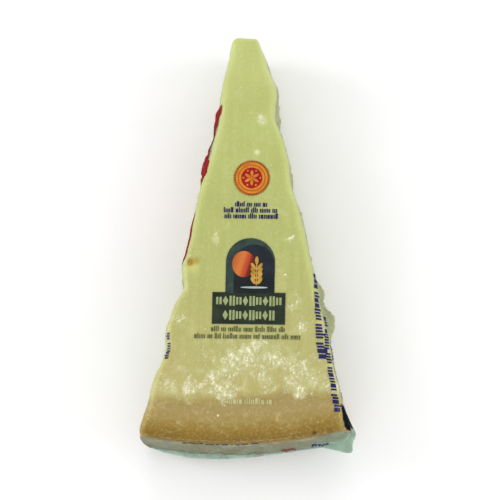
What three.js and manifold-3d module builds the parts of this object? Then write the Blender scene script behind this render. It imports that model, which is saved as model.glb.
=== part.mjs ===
// A long wedge of hard cheese, vacuum-packed in clear shrink film that clings to it all over.
// The pack lies on its flat back with the other cut face up. X runs across it, Y from the rind to
// the blunt tip, and Z up, in millimetres. The origin is under the middle of the whole pack.
import * as THREE from "three";
import { ImprovedNoise } from "three/addons/math/ImprovedNoise.js";
import { mergeVertices } from "three/addons/utils/BufferGeometryUtils.js";
import Module from "manifold-3d";

// The wedge, as cut from a whole wheel of cheese.
const wheelRadius = 225;
const wheelOffset = 10; // the wheel's centre lies this far left of the wedge's middle line
const sliceAngle = THREE.MathUtils.degToRad(26); // between the two split sides
const sliceLength = 192; // rind to tip along the middle
const tipDistance = 20.2; // from where the sides would meet to the blunt tip
const thickness = 46;
const flare = 1.5; // how far each side stands out at the back, compared with the front

// Rounding where the film is pulled over an edge.
const edgeRadius = 4.2;
const tipEdgeShare = 0.55; // of the half width, the most that an edge is rounded at the narrow tip

// How finely the surface is divided, and how much its grid lines crowd towards the edges.
const cells = { across: 18, along: 56, up: 12 };
const crowding = { across: 1.7, along: 1.25, up: 1.4 };

// Swells and hollows of the split sides: where each one lies, how far it spreads along the side
// and up it, and how proud it stands. A negative one is a hollow.
const leftSwells = [
  { along: 1, up: 34, spread: 12, rise: 60, proud: 4.4 },
  { along: 22, up: 40, spread: 12, rise: 60, proud: 3.2 },
  { along: 37, up: 26, spread: 7, rise: 10, proud: 4.0 },
  { along: 49, up: 27, spread: 8, rise: 12, proud: 2.4 },
  { along: 61, up: 26, spread: 7, rise: 10, proud: 3.6 },
  { along: 75, up: 30, spread: 10, rise: 24, proud: 1.6 },
  { along: 100, up: 34, spread: 18, rise: 60, proud: 0.8 },
  { along: 123, up: 36, spread: 5, rise: 40, proud: -4.0 },
  { along: 144, up: 34, spread: 5, rise: 12, proud: 2.2 },
  { along: 155, up: 38, spread: 10, rise: 26, proud: -2.6 },
];
const rightSwells = [
  { along: 2, up: 34, spread: 6, rise: 60, proud: -1.4 },
  { along: 24, up: 32, spread: 6, rise: 16, proud: 2.4 },
  { along: 40, up: 34, spread: 8, rise: 60, proud: -1.3 },
  { along: 71, up: 34, spread: 6, rise: 60, proud: -1.4 },
  { along: 122, up: 26, spread: 3.5, rise: 9, proud: 4.8 },
  { along: 136, up: 24, spread: 6, rise: 10, proud: 6.2 },
];
const sideReliefStart = 0.35; // share of the half width from which the sides' relief takes hold

// The broken grain of the split sides: each layer's grain size and depth.
const crags = [
  { grain: 19, depth: 1.2 },
  { grain: 9, depth: 0.7 },
];
const grainSeed = 3.7;

// The upper cut face waves a little under the film, from this share of the half thickness up.
const faceWaves = { grain: 34, depth: 0.45, start: 0.5 };

// The wheel's rim bulges, and the film stands off it like a tent towards its seal: at what height,
// how far that spreads up and down, how deep it is, and how bluntly it ends at the corners.
const rimBulge = 0.9;
const tent = { height: 15, spread: 14, depth: 1.1, bluntness: 0.55 };
const rindReach = 0.72; // share of the half length from which the rind end's relief takes hold

// The heat seals are flat fins of doubled film. Each line gives stations as the distance across
// from the middle, the distance from the tip, and the height above the floor.
const sealThickness = 1.4;
const rindSeal = {
  cells: { along: 44, out: 4 },
  edge: [
    [-48.6, 187.5, 17],
    [-46.6, 191.2, 16],
    [-34.0, 194.9, 14],
    [-20.5, 196.5, 14],
    [1.9, 195.5, 14],
    [39.2, 190.4, 14],
    [44.3, 191.7, 15],
    [48.8, 192.8, 17],
    [51.3, 184.4, 20],
    [47.8, 176.5, 22],
    [44.6, 171.8, 22],
  ],
  root: [
    [-41, 181, 17],
    [-26, 187, 15],
    [0, 187, 15],
    [26, 184, 15],
    [39, 180, 16],
    [41, 170, 20],
  ],
};
const tipSeal = {
  cells: { along: 8, out: 4 },
  edge: [
    [5.2, 3.5, 19],
    [3.4, -3.2, 18.5],
    [-2.8, -3.8, 19],
    [-7.6, -2.6, 20],
    [-7.6, 3.5, 20],
  ],
  root: [
    [2.4, 7, 19],
    [-1, 7, 19],
    [-4, 7, 20],
  ],
};
const sealRipple = { grain: 9, depth: 0.9 };

// Corners that a join leaves closer together than this become one.
const weldDistance = 0.004;

const half = sliceAngle / 2;
const noise = new ImprovedNoise();
const { lerp, smoothstep } = THREE.MathUtils;

// The line where the sides would meet is x = 0, y = 0, and the rind is towards -Y.
const wheelCentre = new THREE.Vector2(
  -wheelOffset,
  Math.sqrt(wheelRadius ** 2 - wheelOffset ** 2) - tipDistance - sliceLength,
);

// How far the rind is from the meeting line, in the direction at this angle from the middle.
function rindDistance(angle) {
  const towards = new THREE.Vector2(Math.sin(angle), -Math.cos(angle));
  const middle = towards.dot(wheelCentre);
  return middle + Math.sqrt(middle ** 2 - wheelCentre.lengthSq() + wheelRadius ** 2);
}

// Smooth noise at a point, for each layer at its own grain size and depth.
function layered(layers, x, y, z) {
  const heights = layers.map(({ grain, depth }) => depth * noise.noise(x / grain, y / grain, z / grain));
  return heights.reduce((sum, height) => sum + height, 0);
}

function bell(offset, spread) {
  return Math.exp(-((offset / spread) ** 2));
}

function swelling(swells, along, up) {
  const heights = swells.map((s) => s.proud * bell(along - s.along, s.spread) * bell(up - s.up, s.rise));
  return heights.reduce((sum, height) => sum + height, 0);
}

// Grid lines crowd towards both ends of -1 to 1.
function crowd(share, power) {
  return Math.sign(share) * (1 - (1 - Math.abs(share)) ** power);
}

// Where a point of a block with sides -1 to 1 goes once the block's edges are rounded. The block
// narrows from the rind, at -1 along it, to the tip.
function roundedShares(across, along, up) {
  const fromMeetingLine = tipDistance + (sliceLength * (1 - along)) / 2;
  const size = new THREE.Vector3(half * fromMeetingLine, sliceLength / 2, thickness / 2);
  const radius = Math.min(edgeRadius, size.x * tipEdgeShare);
  const point = new THREE.Vector3(across, along, up).multiply(size);
  const core = size.clone().subScalar(radius);
  const nearest = point.clone().clamp(core.clone().negate(), core);
  const away = point.sub(nearest);
  if (away.lengthSq() > 0) away.setLength(radius);
  return nearest.add(away).divide(size);
}

// How far a split side stands out beyond its flat radial cut.
function sideRelief(share, fromTip, point, height) {
  const swells = share.x < 0 ? leftSwells : rightSwells;
  const cragginess = smoothstep(fromTip, 0, tipDistance);
  const grain = layered(crags, point.x + grainSeed, point.y, height);
  const flared = flare * (1 - height / thickness);
  return swelling(swells, fromTip, height) + grain * cragginess + flared;
}

// How far the rind end stands out beyond the wheel's upright rim.
function rindRelief(share, height) {
  const rim = rimBulge * (1 - share.z ** 2);
  const inwards = (1 - share.x ** 2) ** tent.bluntness;
  return rim + tent.depth * bell(height - tent.height, tent.spread) * inwards;
}

// The clinging film over the wedge, from shares of its width, length and thickness, each -1 to 1.
function wedgePoint(across, along, up) {
  const share = roundedShares(across, along, up);
  const angle = share.x * half;
  const tip = tipDistance / Math.cos(angle);
  const distance = lerp(rindDistance(angle), tip, (share.y + 1) / 2);
  const height = ((share.z + 1) / 2) * thickness;
  const outward = new THREE.Vector2(Math.sin(angle), -Math.cos(angle));
  const sideways = new THREE.Vector2(Math.cos(angle), Math.sin(angle));
  const point = outward.clone().multiplyScalar(distance);

  const onSide = smoothstep(Math.abs(share.x), sideReliefStart, 1);
  const sideProud = sideRelief(share, distance - tip, point, height);
  point.addScaledVector(sideways, Math.sign(share.x) * onSide * sideProud);

  const onRind = smoothstep(-share.y, rindReach, 1);
  point.addScaledVector(outward, onRind * rindRelief(share, height));

  const onFace = smoothstep(share.z, faceWaves.start, 1);
  const wave = layered([faceWaves], point.x, point.y, grainSeed * faceWaves.grain);
  return new THREE.Vector3(point.x, point.y, height + wave * onFace);
}

// A closed block divided into cells, with each of its points moved to where place says.
function shapedBlock(nx, ny, nz, place) {
  const block = new THREE.BoxGeometry(2, 2, 2, nx, ny, nz);
  block.deleteAttribute("normal");
  block.deleteAttribute("uv");
  const merged = mergeVertices(block);
  const at = merged.attributes.position;
  for (let i = 0; i < at.count; i++) {
    const moved = place(at.getX(i), at.getY(i), at.getZ(i));
    at.setXYZ(i, moved.x, moved.y, moved.z);
  }
  return merged;
}

function wedgeGeometry() {
  return shapedBlock(cells.across, cells.along, cells.up, (x, y, z) =>
    wedgePoint(crowd(x, crowding.across), crowd(y, crowding.along), crowd(z, crowding.up)),
  );
}

// A smooth line through a seal's stations.
function sealLine(stations) {
  return new THREE.CatmullRomCurve3(
    stations.map(([across, fromTip, height]) => new THREE.Vector3(across, -(tipDistance + fromTip), height)),
  );
}

// A thin rippled fin of film, from its root inside the wedge out to its edge.
function sealGeometry(seal) {
  const root = sealLine(seal.root);
  const edge = sealLine(seal.edge);
  return shapedBlock(seal.cells.along, seal.cells.out, 1, (x, y, z) => {
    const along = (x + 1) / 2;
    const out = (1 - y) / 2;
    const point = root.getPointAt(along).lerp(edge.getPointAt(along), out);
    const ripple = layered([sealRipple], point.x, point.y, grainSeed * sealRipple.grain);
    point.z += (z * sealThickness) / 2 + ripple * out;
    return point;
  });
}

const wasm = await Module();
wasm.setup();

function solidFrom(geometry) {
  return new wasm.Manifold(
    new wasm.Mesh({
      numProp: 3,
      vertProperties: geometry.attributes.position.array,
      triVerts: new Uint32Array(geometry.index.array),
    }),
  );
}

function geometryFrom(solid) {
  const { vertProperties, triVerts } = solid.getMesh();
  const geometry = new THREE.BufferGeometry();
  geometry.setAttribute("position", new THREE.BufferAttribute(vertProperties, 3));
  geometry.setIndex(new THREE.BufferAttribute(triVerts, 1));
  return geometry;
}

// Moves a geometry so that the middle of its underside is the origin.
function standOnOrigin(geometry) {
  geometry.computeBoundingBox();
  const { min, max } = geometry.boundingBox;
  geometry.translate(-(min.x + max.x) / 2, -(min.y + max.y) / 2, -min.z);
}

// Makes near-double corners one, and drops the triangles that this leaves with no area.
function weld(geometry) {
  const welded = mergeVertices(geometry, weldDistance);
  const corners = Array.from(welded.index.array);
  const kept = [];
  for (let i = 0; i < corners.length; i += 3) {
    const [a, b, c] = corners.slice(i, i + 3);
    if (a !== b && b !== c && c !== a) kept.push(a, b, c);
  }
  welded.setIndex(kept);
  welded.computeVertexNormals();
  return welded;
}

function packGeometry() {
  const wedge = solidFrom(wedgeGeometry());
  const seals = [rindSeal, tipSeal].map((seal) => solidFrom(sealGeometry(seal)));
  const joined = geometryFrom(seals.reduce((solid, seal) => solid.add(seal), wedge));
  standOnOrigin(joined);
  return weld(joined);
}

const film = new THREE.MeshStandardMaterial({ color: 0xc6cd83, roughness: 0.25, metalness: 0 });
const pack = new THREE.Mesh(packGeometry(), film);
pack.name = "vacuum_pack";

const part = new THREE.Group();
part.add(pack);

export default part;
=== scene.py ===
import functools
import math
import random

import bmesh
import bpy
from mathutils import Matrix, Vector, noise
from mathutils.bvhtree import BVHTree


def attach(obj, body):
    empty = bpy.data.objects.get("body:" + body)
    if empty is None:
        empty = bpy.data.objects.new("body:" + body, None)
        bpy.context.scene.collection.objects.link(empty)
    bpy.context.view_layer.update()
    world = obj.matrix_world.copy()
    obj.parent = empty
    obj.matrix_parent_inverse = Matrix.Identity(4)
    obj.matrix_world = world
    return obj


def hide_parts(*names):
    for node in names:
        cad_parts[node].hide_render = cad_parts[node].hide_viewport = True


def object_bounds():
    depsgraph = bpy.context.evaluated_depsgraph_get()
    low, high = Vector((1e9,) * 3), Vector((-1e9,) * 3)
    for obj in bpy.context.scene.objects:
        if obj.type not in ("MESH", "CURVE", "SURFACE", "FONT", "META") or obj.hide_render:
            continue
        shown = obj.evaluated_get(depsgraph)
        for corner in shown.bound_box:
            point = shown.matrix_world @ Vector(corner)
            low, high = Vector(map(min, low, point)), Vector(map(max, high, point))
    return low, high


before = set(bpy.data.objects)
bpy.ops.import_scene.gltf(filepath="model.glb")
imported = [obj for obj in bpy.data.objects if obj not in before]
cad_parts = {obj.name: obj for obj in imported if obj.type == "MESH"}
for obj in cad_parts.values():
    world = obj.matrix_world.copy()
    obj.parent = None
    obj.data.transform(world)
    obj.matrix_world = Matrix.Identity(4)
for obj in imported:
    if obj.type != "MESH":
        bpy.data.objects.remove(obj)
cad_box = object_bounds()

# A long wedge of aged hard cheese, vacuum-packed in clear printed shrink film, lying on its flat
# back. X runs across it, Y from the rind to the blunt tip, and Z up. Blender works in metres;
# the numbers here are millimetres, and MM turns them into metres.
MM = 0.001

# The wheel that the wedge was cut from, and the wedge itself.
WHEEL_CENTRE = Vector((-11.21, 129.09, 0))
WHEEL_RADIUS = 225
UPPER_FACE = 46
MID_HEIGHT = 23
EDGE_RADIUS = 4.2

# The seals' fins lie between these heights, and their faces look up or down by at least this much.
SEAL_HEIGHTS = (8, 27)
SEAL_FACING = 0.6
SEAL_CORNER = math.radians(20)

FORM_CELL = 0.78  # how finely the wrapped form is meshed
FILM_GAP = 0.12  # how far the cheese lies under the film
BOX_MARGIN = 0.05  # how far every point stays inside the solid's box


# ---- numbers


def smooth_step(low, high, value):
    share = min(max((value - low) / (high - low), 0), 1)
    return share * share * (3 - 2 * share)


def bell(distance, spread):
    return math.exp(-((distance / spread) ** 2))


def crest(place, sharpness=2.6):
    """1 along the crests of folded noise, and 0 away from them."""
    return max(0, 1 - sharpness * abs(noise.noise(place)))


def rim_depth(place):
    """How deep under the wheel's rim a place lies."""
    return WHEEL_RADIUS - (place - WHEEL_CENTRE).xy.length


# ---- pieces


def scene_object(name, data):
    piece = bpy.data.objects.new(name, data)
    bpy.context.scene.collection.objects.link(piece)
    return piece


def mesh_piece(name, shape, material):
    """The shape, in millimetres, as an object with its place in its mesh."""
    bmesh.ops.scale(shape, verts=shape.verts, vec=(MM, MM, MM))
    mesh = bpy.data.meshes.new(name)
    shape.to_mesh(mesh)
    shape.free()
    mesh.shade_smooth()
    mesh.materials.append(material)
    return scene_object(name, mesh)


def apply_modifiers(piece):
    """Makes the modifiers' result the piece's own mesh."""
    depsgraph = bpy.context.evaluated_depsgraph_get()
    made = bpy.data.meshes.new_from_object(piece.evaluated_get(depsgraph))
    piece.modifiers.clear()
    piece.data = made


def dress(piece):
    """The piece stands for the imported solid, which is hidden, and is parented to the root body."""
    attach(piece, "root")
    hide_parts("vacuum_pack")


# ---- shader helpers


def add_node(tree, kind, inputs=None, **settings):
    """Adds a node, and gives each named or numbered input a value or a link."""
    made = tree.nodes.new(kind)
    for name, value in settings.items():
        setattr(made, name, value)
    for name, value in (inputs or {}).items():
        if isinstance(value, bpy.types.NodeSocket):
            tree.links.new(value, made.inputs[name])
        else:
            made.inputs[name].default_value = value
    return made


def node(kind, inputs, **settings):
    """Adds a node to the tree that its links come from."""
    tree = next(value.id_data for value in inputs.values() if isinstance(value, bpy.types.NodeSocket))
    return add_node(tree, kind, inputs, **settings)


def maths(operation, first, second=0.0, clamp=False):
    made = node("ShaderNodeMath", {0: first, 1: second}, operation=operation, use_clamp=clamp)
    return made.outputs[0]


def product(*factors):
    return functools.reduce(functools.partial(maths, "MULTIPLY"), factors)


def vector_maths(operation, first, second=(0, 0, 0)):
    made = node("ShaderNodeVectorMath", {0: first, 1: second}, operation=operation)
    return made.outputs["Value" if operation in ("LENGTH", "DOT_PRODUCT") else "Vector"]


def scaled(vector, factor):
    made = node("ShaderNodeVectorMath", {"Vector": vector, "Scale": factor}, operation="SCALE")
    return made.outputs["Vector"]


def ranged(value, low, high, to_low=0.0, to_high=1.0):
    """value eased from low..high to to_low..to_high."""
    made = node(
        "ShaderNodeMapRange",
        {"Value": value, "From Min": low, "From Max": high, "To Min": to_low, "To Max": to_high},
        interpolation_type="SMOOTHSTEP",
    )
    return made.outputs["Result"]


def shader_colour(colour):
    """A colour in the usual 0 to 255 numbers, as the shaders need it; a link stays as it is."""
    if isinstance(colour, bpy.types.NodeSocket):
        return colour
    shares = [value / 255 for value in colour]
    return (*(s / 12.92 if s <= 0.04045 else ((s + 0.055) / 1.055) ** 2.4 for s in shares), 1)


def blended(share, first, second):
    inputs = {0: share, 6: shader_colour(first), 7: shader_colour(second)}
    return node("ShaderNodeMix", inputs, data_type="RGBA").outputs[2]


def colour_ramp(value, low, high, stops):
    """A colour for each place between low and high; stops are (place, colour)."""
    inputs = {"Value": value, "From Min": low, "From Max": high}
    share = node("ShaderNodeMapRange", inputs).outputs["Result"]
    made = node("ShaderNodeValToRGB", {"Fac": share})
    made.color_ramp.interpolation = "EASE"
    points = made.color_ramp.elements
    while len(points) < len(stops):
        points.new(1)
    for point, (place, colour) in zip(points, stops):
        point.position = (place - low) / (high - low)
        point.color = shader_colour(colour)
    return made.outputs["Color"]


def wandering(place, scale, detail):
    """A push along each axis, from 0 to 1, that changes slowly from place to place."""
    inputs = {"Vector": place, "Scale": scale, "Detail": detail}
    return node("ShaderNodeTexNoise", inputs).outputs["Color"]


def cell_pattern(place, scale, feature="F1"):
    return node("ShaderNodeTexVoronoi", {"Vector": place, "Scale": scale}, feature=feature).outputs


def place_in_mm(tree):
    """Where a point of the surface is, in millimetres."""
    coordinates = add_node(tree, "ShaderNodeTexCoord").outputs["Object"]
    return scaled(coordinates, 1000.0)


def split(place):
    """The place's x, y and z."""
    return node("ShaderNodeSeparateXYZ", {"Vector": place}).outputs[:]


ORIGIN = (0, 0, 0)


def new_group(name, defaults, result):
    """A shader node group whose inputs have these defaults, its inputs, and its result's socket."""
    group = bpy.data.node_groups.new(name, "ShaderNodeTree")
    for label, default in defaults.items():
        kind = "NodeSocketVector" if default is ORIGIN else "NodeSocketFloat"
        socket = group.interface.new_socket(label, in_out="INPUT", socket_type=kind)
        socket.default_value = default
    group.interface.new_socket(result, in_out="OUTPUT", socket_type="NodeSocketFloat")
    given = add_node(group, "NodeGroupInput").outputs
    return group, given, add_node(group, "NodeGroupOutput").inputs[result]


def rim_depth_group():
    """How deep under a wheel's rim a place lies, in millimetres."""
    defaults = {"Place": ORIGIN, "Centre": ORIGIN, "Radius": WHEEL_RADIUS}
    group, given, result = new_group("rim_depth", defaults, "Depth")
    apart = vector_maths("SUBTRACT", given["Place"], given["Centre"])
    level = vector_maths("MULTIPLY", apart, (1, 1, 0))
    depth = maths("SUBTRACT", given["Radius"], vector_maths("LENGTH", level))
    group.links.new(depth, result)
    return group


def mottle_group():
    """Cloudy patches of a given size; Low and High set how much of the surface they cover."""
    defaults = {"Place": ORIGIN, "Size": 5.0, "Detail": 4.0, "Roughness": 0.6, "Low": 0.4, "High": 0.6}
    group, given, result = new_group("mottle", defaults, "Mask")
    inputs = {"Vector": given["Place"], "Scale": maths("DIVIDE", 1.0, given["Size"])}
    inputs |= {"Detail": given["Detail"], "Roughness": given["Roughness"]}
    cloud = node("ShaderNodeTexNoise", inputs).outputs["Fac"]
    group.links.new(ranged(cloud, given["Low"], given["High"]), result)
    return group


def soft_spot_group():
    """A round spot with a soft edge."""
    defaults = {"Place": ORIGIN, "Centre": ORIGIN, "Radius": 2.0, "Soft": 1.0}
    group, given, result = new_group("soft_spot", defaults, "Mask")
    apart = vector_maths("SUBTRACT", given["Place"], given["Centre"])
    outside = maths("SUBTRACT", vector_maths("LENGTH", apart), given["Radius"])
    mask = maths("SUBTRACT", 1.0, ranged(outside, 0.0, given["Soft"]))
    group.links.new(mask, result)
    return group


GROUPS = {"rim_depth": rim_depth_group(), "mottle": mottle_group(), "soft_spot": soft_spot_group()}


def shared(name, inputs):
    """Places a shared group with its own values and returns its output."""
    return node("ShaderNodeGroup", inputs, node_tree=GROUPS[name]).outputs[0]


def mottled(place, size, low, high, detail=4.0, rough=0.6):
    inputs = {"Place": place, "Size": size, "Low": low, "High": high}
    return shared("mottle", inputs | {"Detail": detail, "Roughness": rough})


def spotted(place, centre, radius, soft):
    inputs = {"Place": place, "Centre": centre, "Radius": radius, "Soft": soft}
    return shared("soft_spot", inputs)


def wheel_depth(place):
    inputs = {"Place": place, "Centre": tuple(WHEEL_CENTRE), "Radius": WHEEL_RADIUS}
    return shared("rim_depth", inputs)


def new_material(name):
    """An empty material, and the place on the surface that its patterns read."""
    material = bpy.data.materials.new(name)
    material.use_nodes = True
    material.node_tree.nodes.clear()
    return material, place_in_mm(material.node_tree)


def surface(shader):
    node("ShaderNodeOutputMaterial", {"Surface": shader})


def bumped(height, distance, normal=None):
    """The surface's normal, tilted by a height that stands for so many millimetres."""
    inputs = {"Height": height, "Distance": distance * MM}
    if normal is not None:
        inputs["Normal"] = normal
    return node("ShaderNodeBump", inputs).outputs["Normal"]


def principled(colour, roughness, normal, others=None):
    inputs = {"Base Color": colour, "Roughness": roughness, "Normal": normal, **(others or {})}
    return node("ShaderNodeBsdfPrincipled", inputs).outputs["BSDF"]


# ---- the cheese's looks

# Where the darker zone under the rind starts on the faces: its place on the middle line, and how
# much its start climbs to the right.
TAN_START = -72.9
TAN_CLIMB = 0.062

# Frosty flakes where the cheese is dry under the film. Each cluster on the upper face has its
# place across and along, its radius and its strength.
FROST_STRENGTH = 0.76
FROST_CLUSTERS = [
    (-25.1, -71.6, 7.0, 1.0), (-20.5, -69.0, 7.0, 0.8), (-16.4, -66.0, 8.5, 1.0),
    (-11.0, -61.5, 8.5, 0.85), (-5.7, -57.5, 9.5, 0.95), (0.5, -54.0, 9.5, 1.0),
    (5.5, -51.0, 8.5, 0.85), (-6.0, -49.0, 8.0, 0.55), (-11.3, -72.6, 7.5, 1.0),
    (-8.5, -69.0, 7.5, 0.8), (-2.0, -70.5, 6.5, 0.6), (6.5, -62.5, 8.5, 0.8),
    (12.0, -56.0, 9.0, 0.75), (18.0, -61.0, 8.5, 0.6), (25.5, -60.4, 9.5, 0.7),
    (19.9, -66.0, 7.5, 0.75), (23.0, -69.8, 7.0, 0.95), (31.0, -66.0, 8.0, 0.6),
    (-35.7, -70.0, 8.0, 0.75), (-30.0, -64.0, 8.0, 0.55), (25.5, -41.5, 9.0, 0.85),
    (21.0, -31.0, 6.0, 0.8), (-31.6, -38.4, 7.0, 0.85), (-15.5, -1.0, 3.4, 1.1),
    # The last cluster whitens the place of a film glint near the tip: a painted glint.
    (19.0, -1.0, 3.4, 1.1), (15.0, -18.0, 1.8, 1.2), (4.5, 55.7, 3.8, 1.2),
]


def paste_colour(place, y):
    """Pale lime yellow at the tip, warmer towards the rind, with faint streaks and clouds."""
    stops = [
        (-78, (182, 168, 106)), (-45, (177, 171, 106)), (0, (174, 180, 106)),
        (50, (179, 187, 112)), (98, (188, 195, 120)),
    ]
    body = colour_ramp(y, -80, 100, stops)
    streak_place = vector_maths("MULTIPLY", place, (1, 0.06, 1))
    streaks = mottled(streak_place, 3.0, 0.35, 0.65, 2.0)
    body = blended(product(streaks, 0.14), body, (202, 210, 138))
    clouds = mottled(place, 14.0, 0.35, 0.7)
    body = blended(product(clouds, 0.3), body, (166, 166, 94))
    paler = mottled(place, 7.0, 0.5, 0.75, 5.0)
    return blended(product(paler, 0.3), body, (212, 216, 156))


def rim_colour(place, x, y, depth, paste):
    """The paste, tan under the rind from a soft wavy start, and ever deeper gold to the crust."""
    wobble = product(mottled(place, 13.0, 0.3, 0.7, 2.0), 2.4)
    above = maths("SUBTRACT", y, product(x, TAN_CLIMB))
    above = maths("ADD", above, maths("SUBTRACT", wobble, TAN_START + 1.2))
    tan_share = ranged(above, -3.2, 2.8, 1.0, 0.0)
    first_line = product(ranged(above, -5.5, -2.0), 0.5)
    cloud = mottled(place, 8.0, 0.35, 0.65, 2.0)
    stops = [
        (1.5, (122, 92, 18)), (5.5, (137, 109, 32)), (8.5, (149, 123, 52)),
        (11.5, (158, 136, 74)), (14.5, (162, 141, 86)),
    ]
    tan = colour_ramp(maths("ADD", depth, product(cloud, 1.5)), 0, 20, stops)
    tan = blended(first_line, tan, (152, 134, 68))
    paler = mottled(place, 3.4, 0.56, 0.72, 2.0)
    paler = product(paler, ranged(depth, 4.0, 9.0, 0.0, 0.5))
    tan = blended(paler, tan, (190, 166, 116))
    return blended(tan_share, paste, tan)


def frost_field(place, x, y):
    """How frosty each place is: the clusters, and faint patches between them towards the rind."""
    drift = vector_maths("SUBTRACT", wandering(place, 0.13, 4.0), (0.5, 0.5, 0.5))
    drift = vector_maths("MULTIPLY", scaled(drift, 16.0), (1, 1, 0))
    loose = vector_maths("ADD", place, drift)
    leftwards = maths("MAXIMUM", maths("SUBTRACT", -12.0, x), 0.0)
    reach = maths("ADD", y, product(leftwards, 0.9))
    band = product(ranged(y, -76, -70), ranged(reach, -60, -30, 1.0, 0.0))
    field = product(mottled(loose, 9.0, 0.3, 0.62, 3.0), product(band, 0.5))
    for across, along, radius, strength in FROST_CLUSTERS:
        cluster = spotted(loose, (across, along, UPPER_FACE), 0.0, radius)
        field = maths("MAXIMUM", field, product(cluster, strength * FROST_STRENGTH))
    return field


def frost_masks(place, x, y):
    """A soft pale bloom and the lacy white flakes in it, thinning out towards the tip."""
    field = frost_field(place, x, y)
    turn = {"Vector": place, "Rotation": (0, 0, math.radians(-38)), "Scale": (1.0, 0.7, 1.0)}
    slanting = node("ShaderNodeMapping", turn).outputs["Vector"]
    flakes = mottled(slanting, 1.9, 0.0, 1.0, 9.0, 0.85)
    flakes = maths("ADD", flakes, product(field, 0.3))
    flakes = product(ranged(flakes, 0.63, 0.75), ranged(field, 0.0, 0.12))
    threads = mottled(slanting, 2.0, 0.0, 1.0, 6.0, 0.75)
    threads = maths("ABSOLUTE", maths("SUBTRACT", threads, 0.5))
    near_rind = product(ranged(field, 0.25, 0.7), ranged(y, -36.0, -44.0))
    threads = product(ranged(threads, 0.01, 0.06, 0.8, 0.0), near_rind)
    crumbs = ranged(mottled(slanting, 0.8, 0.36, 0.6, 4.0, 0.7), 0.0, 1.0, 0.35, 1.0)
    lace = ranged(mottled(slanting, 2.4, 0.4, 0.62, 7.0, 0.8), 0.0, 1.0, 0.15, 1.0)
    bloom = product(ranged(field, 0.05, 0.75), lace)
    return product(bloom, 0.6), product(maths("MAXIMUM", flakes, threads), crumbs)


def broken_paste(place, colour, share, high):
    """The split sides' grains: each a little lighter or darker, in a grey-green darker than the faces,
    which is partly painted shade, and darker still towards the top as painted shade under the shoulder,
    with the crevices between them darkened as painted shade.

    It gives the colour, and the height of the grains over the crevices."""
    loose = vector_maths("ADD", place, scaled(wandering(place, 0.5, 2.0), 1.6))
    grains = cell_pattern(loose, 0.42)
    from_edge = cell_pattern(loose, 0.42, "DISTANCE_TO_EDGE")["Distance"]
    tone = node("ShaderNodeSeparateColor", {"Color": grains["Color"]}).outputs["Red"]
    # Painted shade: the grains' grey-green is darker than the faces', and darker still towards the top,
    # under the shoulder.
    grain_and_shade_colour = blended(tone, (144, 148, 94), (170, 172, 116))
    grain_and_shade_colour = blended(product(high, 0.7), grain_and_shade_colour, (112, 128, 86))
    colour = blended(product(share, 0.85), colour, grain_and_shade_colour)
    for size, shade, strength in ((11.0, (122, 126, 72), 0.5), (5.0, (176, 180, 126), 0.45)):
        patches = product(mottled(loose, size, 0.5, 0.7, 5.0, 0.7), share, strength)
        colour = blended(patches, colour, shade)
    # Painted shade in the crevices between the grains.
    crevice_shade = ranged(from_edge, 0.0, 0.09, 1.0, 0.0)
    crevice_shade = product(crevice_shade, mottled(place, 6.0, 0.4, 0.6), share, 0.35)
    height = product(ranged(from_edge, 0.0, 0.25), share)
    return blended(crevice_shade, colour, (100, 94, 48)), height


def painted_edge_glow(y, z, facing, wall, colour):
    """A painted glow: paler paste, and more golden tan, where the upper face rounds over to the sides, as
    if light came through the rounded edges.
    """
    sideways = maths("ABSOLUTE", vector_maths("DOT_PRODUCT", facing, (1, 0, 0)))
    upper = ranged(z, 34.0, 41.0, 0.0, 0.35)
    rounding = ranged(sideways, 0.06, 0.6)
    shoulder = product(rounding, maths("SUBTRACT", 1.0, wall), upper)
    from_rind = ranged(y, -79.0, -70.0)
    painted_glow = blended(from_rind, (182, 162, 70), (204, 214, 138))
    return blended(shoulder, colour, painted_glow)


# Spots on the upper face: middle, radius, softness, colour and strength.
SPOTS = [
    ((-26.0, -14.5, 46), 0.6, 4.0, (206, 206, 120), 0.6),
    ((-27.4, -12.0, 46), 0.8, 1.9, (160, 124, 34), 0.95),
    ((-24.6, -11.4, 46), 0.4, 2.2, (178, 148, 58), 0.8),
    ((31.0, -90.0, 45.6), 0.6, 1.0, (84, 52, 18), 0.9),
    ((14.0, -84.0, 46), 0.4, 0.9, (214, 176, 104), 0.5),
    # These two pale spots are painted glints of the film.
    ((2.5, 40.3, 46), 0.4, 1.6, (222, 226, 172), 0.8),
    ((4.8, 55.4, 46), 0.8, 2.6, (214, 218, 162), 0.6),
    ((-16.0, -1.4, 46), 0.6, 2.2, (214, 218, 158), 0.5),
    # A tiny bright fleck in the tan zone: a painted glint.
    ((-12.8, -82.6, 46), 0.25, 0.45, (244, 232, 190), 0.8),
]


def speckled(place, colour):
    """Small pale crystals all over, and the spots."""
    crystals = ranged(cell_pattern(place, 0.16)["Distance"], 0.03, 0.07, 0.5, 0.0)
    colour = blended(crystals, colour, (230, 230, 190))
    for centre, radius, soft, spot_colour, strength in SPOTS:
        mask = product(spotted(place, centre, radius, soft), strength)
        colour = blended(mask, colour, spot_colour)
    return colour


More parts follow.
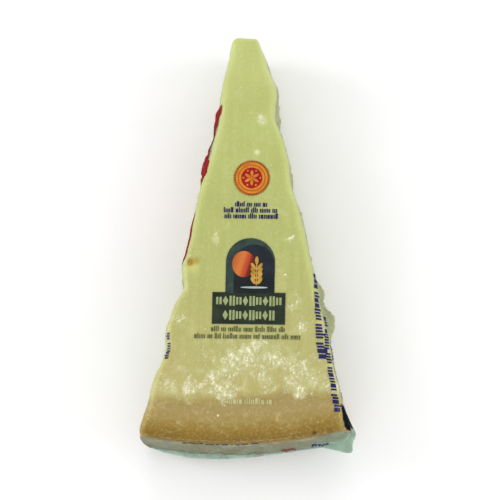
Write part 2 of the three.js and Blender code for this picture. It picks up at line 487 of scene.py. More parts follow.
def cheese_material():
    material, place = new_material("cheese_paste_and_rind")
    x, y, z = split(place)
    depth = wheel_depth(place)
    facing = add_node(material.node_tree, "ShaderNodeNewGeometry").outputs["Normal"]
    up = maths("ABSOLUTE", vector_maths("DOT_PRODUCT", facing, (0, 0, 1)))
    wall = ranged(up, 0.3, 0.75, 1.0, 0.0)
    low = product(ranged(z, 43.0, 38.0), ranged(up, 0.85, 0.97, 1.0, 0.0))
    inside = product(low, ranged(depth, 4.0, 12.0))

    paste = paste_colour(place, y)
    # The split sides' grains, with painted shade on the upper walls and in the crevices.
    paste, grain = broken_paste(place, paste, inside, ranged(z, 24.0, 34.0))
    colour = rim_colour(place, x, y, depth, paste)
    bloom, frost = frost_masks(place, x, y)
    colour = blended(bloom, colour, (202, 202, 146))
    colour = blended(frost, colour, (250, 248, 212))
    # Painted glow where the upper face rounds over to the sides.
    colour = painted_edge_glow(y, z, facing, wall, colour)
    grit = product(mottled(place, 1.3, 0.45, 0.75, 5.0), 0.22)
    colour = blended(grit, colour, (214, 214, 160))
    rind = product(ranged(depth, 0.6, 2.2, 1.0, 0.0), wall)
    bark = mottled(place, 9.0, 0.3, 0.7, 6.0)
    bark = blended(bark, (152, 116, 56), (182, 146, 84))
    colour = speckled(place, blended(rind, colour, bark))

    fine = product(mottled(place, 0.7, 0.2, 0.8, 3.0), 0.2)
    coarse = product(mottled(place, 2.6, 0.3, 0.7, 4.0), wall)
    height = maths("ADD", fine, product(frost, 0.6))
    height = maths("ADD", height, maths("ADD", coarse, product(grain, 1.2)))
    soft_inside = {
        "Specular IOR Level": 0.1,
        "Subsurface Weight": 0.12,
        "Subsurface Radius": (1.0, 0.75, 0.3),
        "Subsurface Scale": 2.5 * MM,
    }
    roughness = ranged(frost, 0.0, 1.0, 0.6, 0.85)
    surface(principled(colour, roughness, bumped(height, 0.16), soft_inside))
    return material


# ---- the film's looks


def under_gloss(body, normal, most, strength=1.0):
    """The body under a film's shine, which never hides more than its share when seen aslant."""
    gloss = principled((1, 1, 1, 1), 0.12, normal, {"Metallic": 1.0})
    fresnel = node("ShaderNodeFresnel", {"IOR": 1.3, "Normal": normal}).outputs["Fac"]
    share = maths("MINIMUM", product(fresnel, strength), most)
    surface(node("ShaderNodeMixShader", {0: share, 1: body, 2: gloss}).outputs["Shader"])


def film_normal(place):
    """Fine wrinkles, and long shallow waves that break up what the film mirrors."""
    wrinkles = mottled(vector_maths("MULTIPLY", place, (1, 1, 0.35)), 2.2, 0.3, 0.7, 3.0)
    waves = mottled(vector_maths("MULTIPLY", place, (1, 0.5, 0.5)), 6.0, 0.1, 0.9, 2.0)
    return bumped(waves, 0.5, bumped(wrinkles, 0.05))


def film_material(name, haze_low, haze_high, tints):
    """Clear glossy film, with a milky haze from haze_low on the faces to haze_high on the rind.

    The haze is thickest, and of other colours, where the film is a tent at the rind's right end."""
    material, place = new_material(name)
    x, _, z = split(place)
    over_rind = ranged(wheel_depth(place), 1.4, -0.2)
    over_rind = product(over_rind, ranged(z, 45.6, 44.0))
    tent = product(over_rind, ranged(x, 20.0, 44.0))
    cling = mottled(vector_maths("MULTIPLY", place, (1, 1, 0.4)), 7.0, 0.35, 0.65, 4.0)
    haze = ranged(over_rind, 0.0, 1.0, haze_low, haze_high)
    haze = maths("ADD", haze, product(tent, 0.3))
    haze = maths("MULTIPLY", haze, ranged(cling, 0.0, 1.0, 0.85, 1.1), clamp=True)

    # Painted highlight: pale cream streaks in the haze along the rind's upper edge.
    painted_rim_highlight = product(ranged(z, 38.0, 43.5), mottled(place, 5.0, 0.45, 0.65))
    milk_colour = blended(painted_rim_highlight, blended(cling, *tints), (168, 164, 122))
    up_tent = ranged(z, 20.0, 32.0)
    tent_colour = blended(up_tent, (150, 177, 156), (106, 120, 90))
    milk_colour = blended(tent, milk_colour, tent_colour)
    normal = film_normal(place)
    milk = principled(milk_colour, 0.4, normal, {"Specular IOR Level": 0.1})
    clear = add_node(material.node_tree, "ShaderNodeBsdfTransparent").outputs["BSDF"]
    body = node("ShaderNodeMixShader", {0: haze, 1: clear, 2: milk}).outputs["Shader"]
    most_gloss = ranged(z, 44.0, 40.0, 0.11, 0.095)
    most_gloss = ranged(over_rind, 0.0, 1.0, most_gloss, 0.05)
    under_gloss(body, normal, most_gloss, ranged(z, 43.0, 37.0, 1.0, 2.4))
    return material


def ink_surface(name, colour_at, gloss=0.03):
    """Printing ink under the film's shine; colour_at(place) gives its colour."""
    material, place = new_material(name)
    normal = bumped(mottled(place, 1.1, 0.2, 0.8), 0.012)
    body = principled(colour_at(place), 0.5, normal, {"Specular IOR Level": 0.0})
    under_gloss(body, normal, gloss)
    return material


def ink(name, *colours, size=3.0, gloss=0.03):
    """Ink that is cloudy between two colours."""
    def colour_at(place):
        return blended(mottled(place, size, 0.35, 0.7), *colours)
    return ink_surface(name + "_ink", colour_at, gloss)


def shaded_ink(name, low, high, stops):
    """Ink whose colour changes from low on the left to high on the right, on a slant."""
    def colour_at(place):
        x, y, _ = split(place)
        across = maths("SUBTRACT", x, product(y, 0.3))
        return colour_ramp(across, low, high, stops)
    return ink_surface(name + "_ink", colour_at)


def floor_material():
    material, place = new_material("floor_paint")
    clouds = mottled(place, 60.0, 0.3, 0.7)
    inputs = {0: clouds, 6: (0.93, 0.93, 0.93, 1), 7: (0.95, 0.95, 0.95, 1)}
    colour = node("ShaderNodeMix", inputs, data_type="RGBA").outputs[2]
    grain = bumped(mottled(place, 1.5, 0.2, 0.8), 0.01)
    surface(principled(colour, 0.7, grain))
    return material


# ---- the wrapped form


def seal_faces(form):
    """The fins' faces: those that look up or down between the cut faces, and the rims beside them."""
    flat = set()
    for face in form.faces:
        height = face.calc_center_median().z
        if SEAL_HEIGHTS[0] < height < SEAL_HEIGHTS[1] and abs(face.normal.z) > SEAL_FACING:
            flat.add(face)
    rims = set()
    for face in flat:
        for edge in face.edges:
            if edge.calc_face_angle_signed() > SEAL_CORNER:
                rims.update(edge.link_faces)
    return list(flat | rims)


def wrapped_form(solid):
    """The pack's outside without its seals, evenly meshed and softly rounded, in millimetres."""
    form = bmesh.new()
    form.from_mesh(solid.data)
    bmesh.ops.scale(form, verts=form.verts, vec=(1 / MM, 1 / MM, 1 / MM))
    bmesh.ops.remove_doubles(form, verts=form.verts, dist=0.002)
    form.normal_update()
    bmesh.ops.delete(form, geom=seal_faces(form), context="FACES")
    bmesh.ops.holes_fill(form, edges=[e for e in form.edges if e.is_boundary], sides=0)
    bmesh.ops.triangulate(form, faces=[f for f in form.faces if len(f.verts) > 3])
    bmesh.ops.recalc_face_normals(form, faces=form.faces)
    mesh = bpy.data.meshes.new("wrapped_form")
    form.to_mesh(mesh)
    form.free()
    piece = scene_object("wrapped_form", mesh)
    finer = piece.modifiers.new("finer", "SUBSURF")
    finer.levels = finer.render_levels = 1
    even = piece.modifiers.new("even", "REMESH")
    even.mode = "VOXEL"
    even.voxel_size = FORM_CELL
    rounded = piece.modifiers.new("rounded", "SMOOTH")
    rounded.factor = 0.5
    rounded.iterations = 6
    apply_modifiers(piece)
    form = bmesh.new()
    form.from_mesh(piece.data)
    form.normal_update()
    bpy.data.objects.remove(piece)
    return form


# Where the film gathers into pleats at the ends of its seals: the place, and how far they run.
GATHERS = [
    (Vector((-47, -91, 16)), 17),
    (Vector((45, -82, 21)), 20),
    (Vector((-9, 93, 20)), 10),
    (Vector((4, 93, 19)), 10),
]
SEAL_LINE = 14.5  # the height at which the rind's seal leaves the pack


def split_side(place, normal):
    """1 on the split sides, 0 on the cut faces and the rind."""
    upright = smooth_step(0.35, 0.9, math.hypot(normal.x, normal.y))
    return upright * smooth_step(2, 8, rim_depth(place))


def crags(place, size):
    """Plateaus of slightly different heights, up to 1, with a groove at 0 round each."""
    distances, corners = noise.voronoi(place / size)
    plateau = smooth_step(0.0, 0.22, distances[1] - distances[0])
    return plateau * (0.75 + 0.25 * noise.cell(corners[0] * 3.1))


def grain_relief(place, normal):
    """The broken sides' relief, as the film follows it."""
    side = split_side(place, normal)
    if side == 0:
        return 0
    rolling = 0.55 * noise.noise(place / 6.0) + 0.2 * noise.noise(place / 2.6)
    below = smooth_step(38, 22, place.z)
    return side * (rolling * (0.5 + 0.5 * below) + (0.2 + 0.75 * below) * (crags(place, 9.0) - 0.8))


def seal_pleats(place, upright):
    """Pleats that spread from the seals' ends over the corners."""
    lift = 0
    for centre, reach in GATHERS:
        away = place - centre
        near = bell(away.length, reach)
        if near > 0.02:
            angle = math.atan2(away.z, math.hypot(away.x, away.y) * (1 if away.y > 0 else -1))
            lift += 0.9 * near * upright * crest(Vector((angle * 2.6, centre.x, away.length / 40)))
    return lift


def rind_pleats(place, upright):
    """Upright pleats over the rind, deepest at the seal."""
    depth = rim_depth(place)
    if depth > 2.5:
        return 0
    from_seal = place.z - SEAL_LINE
    lean = place.x + from_seal * 0.35 * noise.noise(Vector((place.x / 20, 0, 7)))
    pleat = crest(Vector((lean / 5.5, from_seal / 40, 3.1)), 3.2)
    return 0.75 * upright * smooth_step(2.5, 0.5, depth) * pleat * bell(from_seal, 19)


def drawn_creases(place, side):
    """Fine creases where the film is drawn along the split sides, below their shoulders."""
    side *= smooth_step(40, 28, place.z)
    flow = Vector((place.y / 26, (place.z + place.y * 0.12) / 4.2, place.x / 60))
    where = smooth_step(-0.05, 0.3, noise.noise(place / 21 + Vector((5, 0, 0))))
    steep = Vector(((place.y + place.z * 0.5) / 5.0, place.z / 30, 4))
    across = smooth_step(0.05, 0.4, noise.noise(place / 17 + Vector((0, 11, 0))))
    return side * (0.4 * crest(flow, 3.6) * where + 0.36 * crest(steep, 3.6) * across)


def film_lift(place, normal):
    """How far the film stands off what it clings to."""
    upright = smooth_step(0.3, 0.9, math.hypot(normal.x, normal.y))
    lift = seal_pleats(place, upright) + rind_pleats(place, upright)
    side = split_side(place, normal)
    if side:
        lift += drawn_creases(place, side)
    return lift + 0.035 * crest(Vector((place.x / 6, place.y / 40, 0)))


def cheese_sink(place, normal):
    """How far the cheese lies under the film: a thin gap, and the pits between its crags."""
    sink = FILM_GAP + 0.05 * (1 + noise.noise(place / 1.8))
    side = split_side(place, normal)
    if side:
        pits = 0.4 * max(0, noise.noise(place / 2.1)) + 0.7 * (1 - crags(place, 5.5))
        side *= smooth_step(0.8, 1.0, math.hypot(normal.x, normal.y)) * smooth_step(40, 28, place.z)
        sink += side * pits
    return sink


def keep_inside(shape, box):
    """Presses back what stands out of the box, whose corners are in metres."""
    margin = Vector((BOX_MARGIN,) * 3)
    low, high = box[0] / MM + margin, box[1] / MM - margin
    for vert in shape.verts:
        vert.co = [min(max(value, least), most) for value, least, most in zip(vert.co, low, high)]


def reshaped(form, move):
    """A copy of the form with each point moved out along its normal by move(place, normal)."""
    shape = form.copy()
    moves = [(vert, vert.normal * move(vert.co, vert.normal)) for vert in shape.verts]
    for vert, step in moves:
        vert.co += step
    return shape


# ---- the seals

# Each seal is a thin doubled fin: its outer edge and its root inside the pack, as points in order.
RIND_SEAL_EDGE = [
    (-49.8, -91.2, 17), (-47.8, -94.9, 16), (-35.2, -98.6, 14), (-21.7, -100.2, 14),
    (0.7, -99.2, 14), (35.6, -93.9, 14), (40.5, -94.8, 14), (45.4, -96.2, 15),
    (48.2, -95.9, 16), (48.5, -92.2, 17.5), (49.8, -88.0, 20), (47.9, -83.6, 21),
    (46.2, -80.2, 22), (44.0, -74.4, 22),
]
RIND_SEAL_ROOT = [
    (-42.2, -84.7, 17), (-27.2, -90.7, 15), (-1.2, -90.7, 15),
    (24.8, -87.7, 15), (37.8, -83.7, 16), (39.8, -73.7, 20),
]
TIP_SEAL_EDGE = [(1.6, 92.8, 19), (0.4, 99.2, 18.5), (-4.0, 99.9, 19), (-8.8, 98.9, 20), (-8.8, 92.8, 20)]
TIP_SEAL_ROOT = [(0.2, 89.3, 19), (-2.2, 89.3, 19), (-5.2, 89.3, 20)]
SEAL_THICKNESS = 0.35
CRIMP_DEPTH = 0.09
CRIMP_PITCH = 0.9


def point_along(stations, share):
    """A point on the smooth line through the stations, share 0 to 1 of the way."""
    last = len(stations) - 1
    place = min(max(share, 0), 0.999999) * last
    first = int(place)
    t = place - first
    a, b, c, d = (Vector(stations[min(max(first + k, 0), last)]) for k in (-1, 0, 1, 2))
    return 0.5 * (2 * b + (c - a) * t + (2 * a - 5 * b + 4 * c - d) * t**2 + (3 * b - a - 3 * c + d) * t**3)


def fin_point(edge, root, along, out):
    """A point of a rippled fin, crimped where it is welded."""
    inner, outer = point_along(root, along), point_along(edge, along)
    place = inner.lerp(outer, out)
    from_edge = (outer - inner).length * (1 - out)
    ripple = 0.7 * noise.noise(place / 8) + 0.45 * crest(Vector((place.x / 3.4, place.y / 7, 2)), 3.0)
    crimp = CRIMP_DEPTH * math.sin(from_edge * 2 * math.pi / CRIMP_PITCH)
    weld = crimp * smooth_step(3.4, 2.6, from_edge)
    return place + Vector((0, 0, ripple * out + weld))


def fin_sheet(edge, root, cells, along=(0, 1), out=(0, 1), lift=0):
    """A part of a fin, from one share to another along it and outwards."""
    shape = bmesh.new()
    bmesh.ops.create_grid(shape, x_segments=cells[0], y_segments=cells[1], size=0.5)
    for vert in shape.verts:
        share_along = along[0] + (along[1] - along[0]) * (vert.co.x + 0.5)
        share_out = out[0] + (out[1] - out[0]) * (vert.co.y + 0.5)
        vert.co = fin_point(edge, root, share_along, share_out) + Vector((0, 0, lift))
    shape.normal_update()
    if sum(face.normal.z for face in shape.faces) < 0:
        bmesh.ops.reverse_faces(shape, faces=shape.faces)
    return shape


def thin_piece(name, shape, thickness, offset, material):
    """A sheet with a little thickness, worn by the pack."""
    piece = mesh_piece(name, shape, material)
    double = piece.modifiers.new("double", "SOLIDIFY")
    double.thickness = thickness * MM
    double.offset = offset
    apply_modifiers(piece)
    dress(piece)
    return piece


# ---- printing on the film

LAYER = 0.035  # how far each layer of printing stands off the one below
INK_THICKNESS = 0.05


def patch(width, height, cell=1.2):
    """A flat rectangle about the origin, divided finely enough to follow the film."""
    shape = bmesh.new()
    across, along = (max(1, math.ceil(side / cell)) for side in (width, height))
    bmesh.ops.create_grid(shape, x_segments=across, y_segments=along, size=0.5)
    bmesh.ops.scale(shape, verts=shape.verts, vec=(width, height, 1))
    return shape


def cut_to(shape, sides):
    """Keeps what lies inside all sides; each is a point and the direction that faces out."""
    for point, out in sides:
        everything = shape.verts[:] + shape.edges[:] + shape.faces[:]
        bmesh.ops.bisect_plane(
            shape, geom=everything, dist=0.0001, plane_co=(*point, 0), plane_no=(*out, 0), clear_outer=True
        )
    return shape


def oval(width, height, cell=1.2, sides=36):
    """An ellipse about the origin."""
    cuts = []
    for k in range(sides):
        angle = 2 * math.pi * (k + 0.5) / sides
        point = (width / 2 * math.cos(angle), height / 2 * math.sin(angle))
        cuts.append((point, (math.cos(angle) / width, math.sin(angle) / height)))
    return cut_to(patch(width, height, cell), cuts)


def arched(width, height):
    """A rectangle about the origin, whose upper end is half round."""
    cuts = []
    sides = 18
    for k in range(sides):
        angle = math.pi * (k + 0.5) / sides
        out = Vector((math.cos(angle), math.sin(angle)))
        cuts.append((Vector((0, (height - width) / 2)) + out * width / 2, out))
    return cut_to(patch(width, height), cuts)


def lozenge(width, height):
    slants = [(sx * height, sy * width) for sx in (-1, 1) for sy in (-1, 1)]
    cuts = [((math.copysign(width / 2, out[0]), 0), out) for out in slants]
    return cut_to(patch(width, height), cuts)


def put(sheet, shape, at, turn=0):
    """Adds a flat shape to the sheet, turned by so many degrees and moved to its place."""
    bmesh.ops.rotate(shape, verts=shape.verts, matrix=Matrix.Rotation(math.radians(turn), 3, "Z"))
    bmesh.ops.translate(shape, verts=shape.verts, vec=(*at, 0))
    mesh = bpy.data.meshes.new("flat")
    shape.to_mesh(mesh)
    shape.free()
    sheet.from_mesh(mesh)
    bpy.data.meshes.remove(mesh)


def scalloped(sheet, width, beads, at):
    """A disc with a beaded edge."""
    put(sheet, oval(width, width), at)
    for k in range(beads):
        angle = 2 * math.pi * k / beads
        edge = (at[0] + width / 2 * math.cos(angle), at[1] + width / 2 * math.sin(angle))
        put(sheet, oval(1.0, 0.62, sides=8), edge, math.degrees(angle))


STROKE_HEIGHTS = (0.72, 0.72, 0.72, 1.0)
STROKE_WIDTHS = (0.9, 0.9, 0.9, 1.9)
STROKE_GAP = 0.48
GROUP_GAP = 1.3


def row_of_strokes(sheet, chance, at, length, height, stroke):
    """Upright strokes in groups, at the scale of lettering but without letters."""
    place, left_in_group = 0.0, chance.randint(4, 8)
    while place < length:
        tall = height * chance.choice(STROKE_HEIGHTS)
        wide = stroke * chance.choice(STROKE_WIDTHS)
        middle = Vector(at) + Vector((place + wide / 2, tall / 2))
        put(sheet, patch(wide, tall, 0.6), middle)
        left_in_group -= 1
        place += wide + stroke * STROKE_GAP
        if left_in_group == 0:
            place += stroke * GROUP_GAP
            left_in_group = chance.randint(3, 8)


def printed(name, sheet, lay, layer, material):
    """Presses the flat sheet on the film as thin ink, in the first layer or one above."""
    lift = layer * LAYER
    for vert in sheet.verts:
        vert.co = lay(vert.co.x, vert.co.y, lift)
    sheet.normal_update()
    sheet.faces.ensure_lookup_table()
    first = sheet.faces[0]
    middle = first.calc_center_median()
    if first.normal.dot(middle - Vector((0, middle.y, MID_HEIGHT))) < 0:
        bmesh.ops.reverse_faces(sheet, faces=sheet.faces)
    piece = thin_piece(name, sheet, min(lift, INK_THICKNESS), -1, material)
    piece.data.set_sharp_from_angle(angle=math.radians(40))


# ---- the stage

CAMERA_TARGET = Vector((0.16, -6.14, 46)) * MM
CAMERA_DISTANCE = 800 * MM
CAMERA_TILT = math.radians(10.5)
CAMERA_YAW = math.radians(3)
CAMERA_ROLL = math.radians(1.19)
CAMERA_LENS = 125


def make_camera():
    """Looks down on the upper face from a little towards the rind."""
    back = Vector((math.tan(CAMERA_YAW), -math.tan(CAMERA_TILT), 1)).normalized()
    right = Vector((0, 1, 0)).cross(back).normalized()
    up = back.cross(right)
    turned_right = right * math.cos(CAMERA_ROLL) + up * math.sin(CAMERA_ROLL)
    turned_up = up * math.cos(CAMERA_ROLL) - right * math.sin(CAMERA_ROLL)
    data = bpy.data.cameras.new("camera")
    data.lens = CAMERA_LENS
    data.sensor_width = 36
    data.clip_start = 0.01
    camera = scene_object("camera", data)
    turn = Matrix((turned_right, turned_up, back)).transposed().to_4x4()
    camera.matrix_world = Matrix.Translation(CAMERA_TARGET + back * CAMERA_DISTANCE) @ turn
    bpy.context.scene.camera = camera


def make_floor():
    shape = bmesh.new()
    bmesh.ops.create_grid(shape, x_segments=8, y_segments=8, size=3000)
    bmesh.ops.translate(shape, verts=shape.verts, vec=(0, 0, -0.1))
    mesh_piece("floor", shape, floor_material())


def soft_lamp(name, place, size, power):
    data = bpy.data.lights.new(name, "AREA")
    data.shape = "RECTANGLE"
    data.size, data.size_y = size
    data.energy = power
    lamp = scene_object(name, data)
    towards = Vector((0, 0, 0.02)) - Vector(place)
    lamp.matrix_world = Matrix.Translation(place) @ towards.to_track_quat("-Z", "Y").to_matrix().to_4x4()


# Long soft boxes round the pack, clear of where the upper face would mirror them to the camera:
# each one's place and size in metres, and its power in watts.
SOFT_BOXES = {
    "left_box": ((-1.2, 0.2, 0.62), (0.45, 1.2), 5.6),
    "right_box": ((1.2, 0.0, 0.58), (0.45, 1.2), 4.4),
    "front_box": ((-0.1, -1.3, 0.6), (1.2, 0.35), 4.2),
    "back_box": ((0.1, 1.45, 0.65), (1.2, 0.35), 4.2),
}
WORLD_STRENGTH = 0.84


def make_light():
    world = bpy.data.worlds.new("studio")
    world.use_nodes = True
    background = world.node_tree.nodes["Background"].inputs
    background["Color"].default_value = (1, 1, 1, 1)
    background["Strength"].default_value = WORLD_STRENGTH
    bpy.context.scene.world = world
    for name, (place, size, power) in SOFT_BOXES.items():
        soft_lamp(name, place, size, power)
    bpy.context.scene.view_settings.view_transform = "Standard"


# ---- the pack

make_camera()

form = wrapped_form(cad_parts["vacuum_pack"])
form = reshaped(form, grain_relief)
form.normal_update()
cheese_shape = reshaped(form, lambda place, normal: film_lift(place, normal) - cheese_sink(place, normal))
keep_inside(cheese_shape, cad_box)
dress(mesh_piece("cheese", cheese_shape, cheese_material()))

film_shape = reshaped(form, film_lift)
keep_inside(film_shape, cad_box)
form.free()
film_shape.normal_update()
film_surface = BVHTree.FromBMesh(film_shape)
# The haze over the rind takes dark grey-green tints: partly the film's own milkiness, partly painted shade
# on the rind end.
clear_film = film_material("clear_shrink_film", 0.0, 0.6, ((90, 110, 82), (112, 130, 100)))
dress(mesh_piece("film", film_shape, clear_film))

welded_film = film_material("welded_film", 0.62, 0.62, ((130, 166, 146), (182, 212, 194)))
rind_fin = fin_sheet(RIND_SEAL_EDGE, RIND_SEAL_ROOT, (220, 18))
thin_piece("rind_seal", rind_fin, SEAL_THICKNESS, 0, welded_film)
tip_fin = fin_sheet(TIP_SEAL_EDGE, TIP_SEAL_ROOT, (40, 14))
thin_piece("tip_seal", tip_fin, SEAL_THICKNESS, 0, welded_film)


# Where the rays that find the film start: over the pack, and inside it behind the rind.
ABOVE_PACK = 80
BEHIND_RIND = -70
RIND_Y = -90
SLICE_DEGREES = 155  # how far a slice's outline runs from straight up
SHOULDER_HEIGHT = 38  # above it, an outline is the upper face and its rounded edge
START_HEIGHT = 40  # above it, an outline is passed over until it is as far across as the start


def on_face(x, y, lift):
    """A place on the upper face, lifted off the film."""
    hit, *_ = film_surface.ray_cast(Vector((x, y, ABOVE_PACK)), Vector((0, 0, -1)))
    return hit + Vector((0, 0, lift))


def between(stops, place):
    """The value at a place, eased between the stops, which are (place, value) in rising order."""
    for (first, low), (last, high) in zip(stops, stops[1:]):
        if place <= last:
            return low + (high - low) * smooth_step(first, last, place)
    return stops[-1][1]


@functools.cache
def slice_outline(side, along):
    """The film's outline in a slice across the pack, from its top down round one side and under."""
    middle = Vector((0, along, MID_HEIGHT))
    outline = []
    for half_degrees in range(2 * SLICE_DEGREES + 1):
        turn = math.radians(half_degrees / 2)
        hit, *_ = film_surface.ray_cast(middle, Vector((side * math.sin(turn), 0, math.cos(turn))))
        if hit:
            outline.append(hit)
    return outline


def on_side(side, starts=None):
    """Lays on a side: how far along, and how far round from a start on the upper face and down.

    The start is where the edge begins to round, or as far across as starts says for the place."""
    def lay(along, around, lift):
        outline = slice_outline(side, round(along, 1))
        if starts:
            first = between(starts, along)
        else:
            first = max(abs(point.x) for point in outline if point.z > SHOULDER_HEIGHT) - EDGE_RADIUS
        left = around
        for here, after in zip(outline, outline[1:]):
            if abs(after.x) < first and after.z > START_HEIGHT:
                continue
            step = (after - here).length
            if left <= step:
                break
            left -= step
        ahead = (after - here).normalized()
        outwards = Vector((-ahead.z, 0, ahead.x)) * side
        return here.lerp(after, left / step) + outwards * lift
    return lay


def on_rind(across, height, lift):
    """A place on the film over the rind."""
    outwards = (Vector((across, RIND_Y, 0)) - WHEEL_CENTRE).normalized()
    hit, *_ = film_surface.ray_cast(Vector((across, BEHIND_RIND, height)), outwards)
    return hit + Vector((0, -lift, 0))


NAVY = ink("navy", (24, 24, 76), (40, 40, 92))
RED = ink("red", (160, 16, 26), (132, 10, 22))
DEEP_RED = ink("deep_red", (146, 8, 22), (116, 4, 18))
DULL_RED = ink("dull_red", (132, 58, 54), (110, 70, 64))
GOLD = ink("gold", (204, 132, 34), (190, 104, 26))
BRONZE = ink("bronze", (140, 70, 16), (168, 92, 28))
DARK = ink("dark", (18, 24, 26), (30, 38, 48), size=9.0)
PINE = ink("pine", (26, 34, 22), (42, 54, 40), size=9.0)
SLATE = ink("slate", (54, 70, 62), (34, 48, 48), size=6.0)
BLACK = ink("black", (8, 10, 14), (18, 22, 28), gloss=0.008)
CREAM = ink("cream", (192, 150, 66), (160, 116, 42))
STRAW = ink("straw", (152, 162, 112), (136, 146, 98))
PALE = ink("pale", (176, 184, 176), (150, 160, 156))
CHALK = ink("chalk", (190, 184, 132), (172, 164, 106))
OLIVE = ink("olive", (82, 86, 44), (116, 120, 70))
BALL_SHADES = [
    (-4.5, (176, 88, 40)), (0, (196, 112, 52)), (2.6, (178, 70, 34)),
    (4.6, (104, 26, 24)), (8, (58, 16, 24)),
]
AMBER = shaded_ink("amber", -6, 10, BALL_SHADES)


def round_seal():
    """A gold disc with a beaded bronze rim, and a red middle that holds a gold flower."""
    middle = (0.3, 27.9)
    rim, disc, ring, field, core, flower = (bmesh.new() for _ in range(6))
    scalloped(rim, 16.2, 44, middle)
    put(disc, oval(14.8, 14.8), middle)
    put(ring, oval(12.7, 12.7), middle)
    put(field, oval(12.0, 12.0), middle)
    put(core, oval(9.8, 9.8, sides=30), middle)
    for k in range(6):
        angle = math.radians(60 * k + 30)
        at = (middle[0] + 2.1 * math.cos(angle), middle[1] + 2.1 * math.sin(angle))
        put(flower, oval(2.9, 1.3, 0.8, sides=14), at, 60 * k + 30)
        dot = (middle[0] + 3.9 * math.cos(angle + 0.52), middle[1] + 3.9 * math.sin(angle + 0.52))
        put(flower, oval(0.9, 0.9, 0.8, sides=10), dot)
    put(flower, oval(1.1, 1.1, 0.8, sides=12), middle)
    printed("seal_rim", rim, on_face, 1, BRONZE)
    printed("seal_disc", disc, on_face, 2, GOLD)
    printed("seal_ring", ring, on_face, 3, BRONZE)
    printed("seal_field", field, on_face, 4, GOLD)
    printed("seal_core", core, on_face, 5, RED)
    printed("seal_flower", flower, on_face, 6, GOLD)


def small_rows():
    """Navy rows under the seal, faint olive ones under the panel, and a chalky one by the tan zone."""
    chance = random.Random(4)
    navy, olive = bmesh.new(), bmesh.new()
    for x, y, length in ((-7.2, 14.3, 14.8), (-12.4, 11.5, 25), (-12, 8.7, 24)):
        row_of_strokes(navy, chance, (x, y), length, 2.5, 0.6)
    for x, y, length in ((-17, -44.1, 34), (-24.6, -47.4, 49)):
        row_of_strokes(olive, chance, (x, y), length, 2.5, 0.6)
    chalk = bmesh.new()
    row_of_strokes(chalk, chance, (-9, -77.2), 19.5, 2.9, 0.7)
    printed("chalk_row", chalk, on_face, 1, CHALK)
    printed("face_rows", navy, on_face, 1, NAVY)
    printed("faint_rows", olive, on_face, 1, OLIVE)


def emblem():
    """A dark arch with a slate rim along its left shoulder, painted as a sheen on the dark print, with an
    amber ball and an ear of grain.
    """
    rim, arch, ball, grain, ground = (bmesh.new() for _ in range(5))
    # The slate rim shows along the arch's left side and top: painted sheen on the dark print.
    put(rim, arched(22.6, 26.2), (0.5, -13.6))
    put(arch, arched(18.6, 22.8), (2.2, -14.9))
    put(ball, oval(10.6, 12.2), (-2.6, -12.7))
    kernels = [((3.4 + 1.5 * lean, -20.4 + 2.2 * k), 90 - 32 * lean) for k in range(4) for lean in (-1, 1)]
    for at, turn in (*kernels, ((3.4, -10.9), 90)):
        put(grain, oval(3.7, 1.6, 0.9, sides=14), at, turn)
    put(grain, patch(0.5, 10.5, 0.9), (3.4, -17.4))
    put(ground, oval(12.5, 0.9, sides=24), (2.4, -23.6))
    printed("emblem_sheen_rim", rim, on_face, 1, SLATE)
    printed("emblem_arch", arch, on_face, 2, DARK)
    printed("emblem_ball", ball, on_face, 3, AMBER)
    printed("emblem_grain", grain, on_face, 4, CREAM)
    printed("emblem_ground", ground, on_face, 4, PALE)


def dark_panel():
    """A dark framed panel with two rows of bold bars and lozenges."""
    border, panel, marks = (bmesh.new() for _ in range(3))
    middle = (0.1, -33.3)
    put(border, patch(33.6, 14.8), middle)
    put(panel, patch(32.9, 14.1), middle)
    tall, pitch = 4.6, 3.05
    for row, (count, y) in enumerate(((10, -29.9), (8, -36.5))):
        for k in range(count):
            x = middle[0] + (k - (count - 1) / 2) * pitch
            kind = (k + row) % 3
            if kind == 1:
                put(marks, lozenge(2.6, tall), (x, y))
            else:
                for lean in (-1, 1):
                    put(marks, patch(1.0, tall * (1 if kind else 0.75)), (x + lean * 0.76, y))
    printed("panel_border", border, on_face, 1, SLATE)
    printed("panel", panel, on_face, 2, PINE)
    printed("panel_marks", marks, on_face, 3, STRAW)


# The red ribbon on the left side: how far round its upper border lies at each place along it.
RIBBON_TOP = [
    (-14, 7.5), (-9, 3.6), (2, 3.8), (10, 4.4), (14, 10), (19, 14), (24, 12), (27.5, 6.5),
    (31, 3.4), (36, 4.2), (40, 11.6), (47, 13.5), (53.5, 15.5), (60, 3.8), (65, 3.2),
]
RIBBON_WIDTH = 24
RIBBON_FOOT = 34
# Where the two navy rows over the right edge start across the pack, at each place along it.
BOLD_ROW = [(-56, 32.8), (-48, 31.4), (-20, 30.0), (-14, 29.4)]
SECOND_ROW = [(-80, 40.2), (-71, 38.7), (-60, 36.8), (-50, 35.3), (-36, 35.1)]


def on_ribbon(along, down, lift):
    """Lays on the left side, between the ribbon's wavy upper border and its straight lower one."""
    top = between(RIBBON_TOP, along)
    return on_side(-1)(along, top + (RIBBON_FOOT - top) * down / RIBBON_WIDTH, lift)


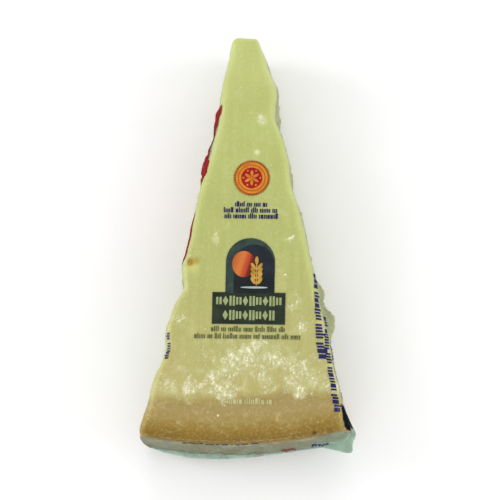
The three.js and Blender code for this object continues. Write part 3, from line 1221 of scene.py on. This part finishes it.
def side_prints():
    """A red ribbon with cream rows on the left side, and navy rows on both sides."""
    chance = random.Random(9)
    field, pale, navy_left, bold, second, small, block = (bmesh.new() for _ in range(7))
    put(block, patch(10.5, 21, 0.6), (-81.3, 15.5))
    put(field, patch(76, RIBBON_WIDTH, 0.5), (25.5, RIBBON_WIDTH / 2))
    put(pale, patch(76, 0.6), (25.5, RIBBON_FOOT - 1.6))
    for around, start, length in ((20.5, -6, 58), (24.4, 0, 44), (28.3, -4, 52)):
        row_of_strokes(pale, chance, (start, around), length, 2.5, 0.75)
    for around, start, length in ((1.7, -57, 12), (20, -66, 26), (24, -66, 22), (28, -66, 28)):
        row_of_strokes(navy_left, chance, (start, around), length, 2.4, 0.85)
    row_of_strokes(bold, chance, (-56, 0), 40, 4.7, 1.05)
    row_of_strokes(second, chance, (-80, 0), 43, 4.0, 0.95)
    for around, length in ((27, 62), (31, 54), (35, 60), (39, 40)):
        row_of_strokes(small, chance, (-74, around), length, 1.9, 0.55)
    printed("left_ribbon", field, on_ribbon, 2, DEEP_RED)
    printed("left_ribbon_rows", pale, on_side(-1), 3, CREAM)
    printed("left_rows", navy_left, on_side(-1), 2, NAVY)
    printed("right_bold_row", bold, on_side(1, BOLD_ROW), 2, NAVY)
    printed("right_second_row", second, on_side(1, SECOND_ROW), 2, NAVY)
    printed("right_small_rows", small, on_side(1), 2, NAVY)
    printed("right_block", block, on_side(1), 2, BLACK)
    block_lift = SEAL_THICKNESS / 2 + 0.1
    fin_block = fin_sheet(RIND_SEAL_EDGE, RIND_SEAL_ROOT, (44, 12), (0.81, 0.995), (0.4, 0.97), block_lift)
    thin_piece("fin_block", fin_block, INK_THICKNESS, -1, BLACK)


def rind_prints():
    """A small red field and navy marks above the seal, and a broken dark line under the edge."""
    chance = random.Random(3)
    red, navy = bmesh.new(), bmesh.new()
    put(red, oval(6.5, 8, 0.7), (15.5, 21.5))
    dashes = bmesh.new()
    place = -27.0
    while place < 3:
        length = chance.uniform(0.8, 4.2)
        put(dashes, patch(length, 0.55, 0.7), (place + length / 2, 43.4 + chance.uniform(-0.3, 0.3)))
        place += length + chance.uniform(0.3, 1.2)
    printed("rind_dashes", dashes, on_rind, 2, DARK)
    for height in (20, 24.5):
        row_of_strokes(navy, chance, (25.5, height), 6.5, 3.6, 1.0)
    printed("rind_field", red, on_rind, 2, DULL_RED)
    printed("rind_rows", navy, on_rind, 2, NAVY)


round_seal()
small_rows()
emblem()
dark_panel()
side_prints()
rind_prints()

make_floor()
make_light()
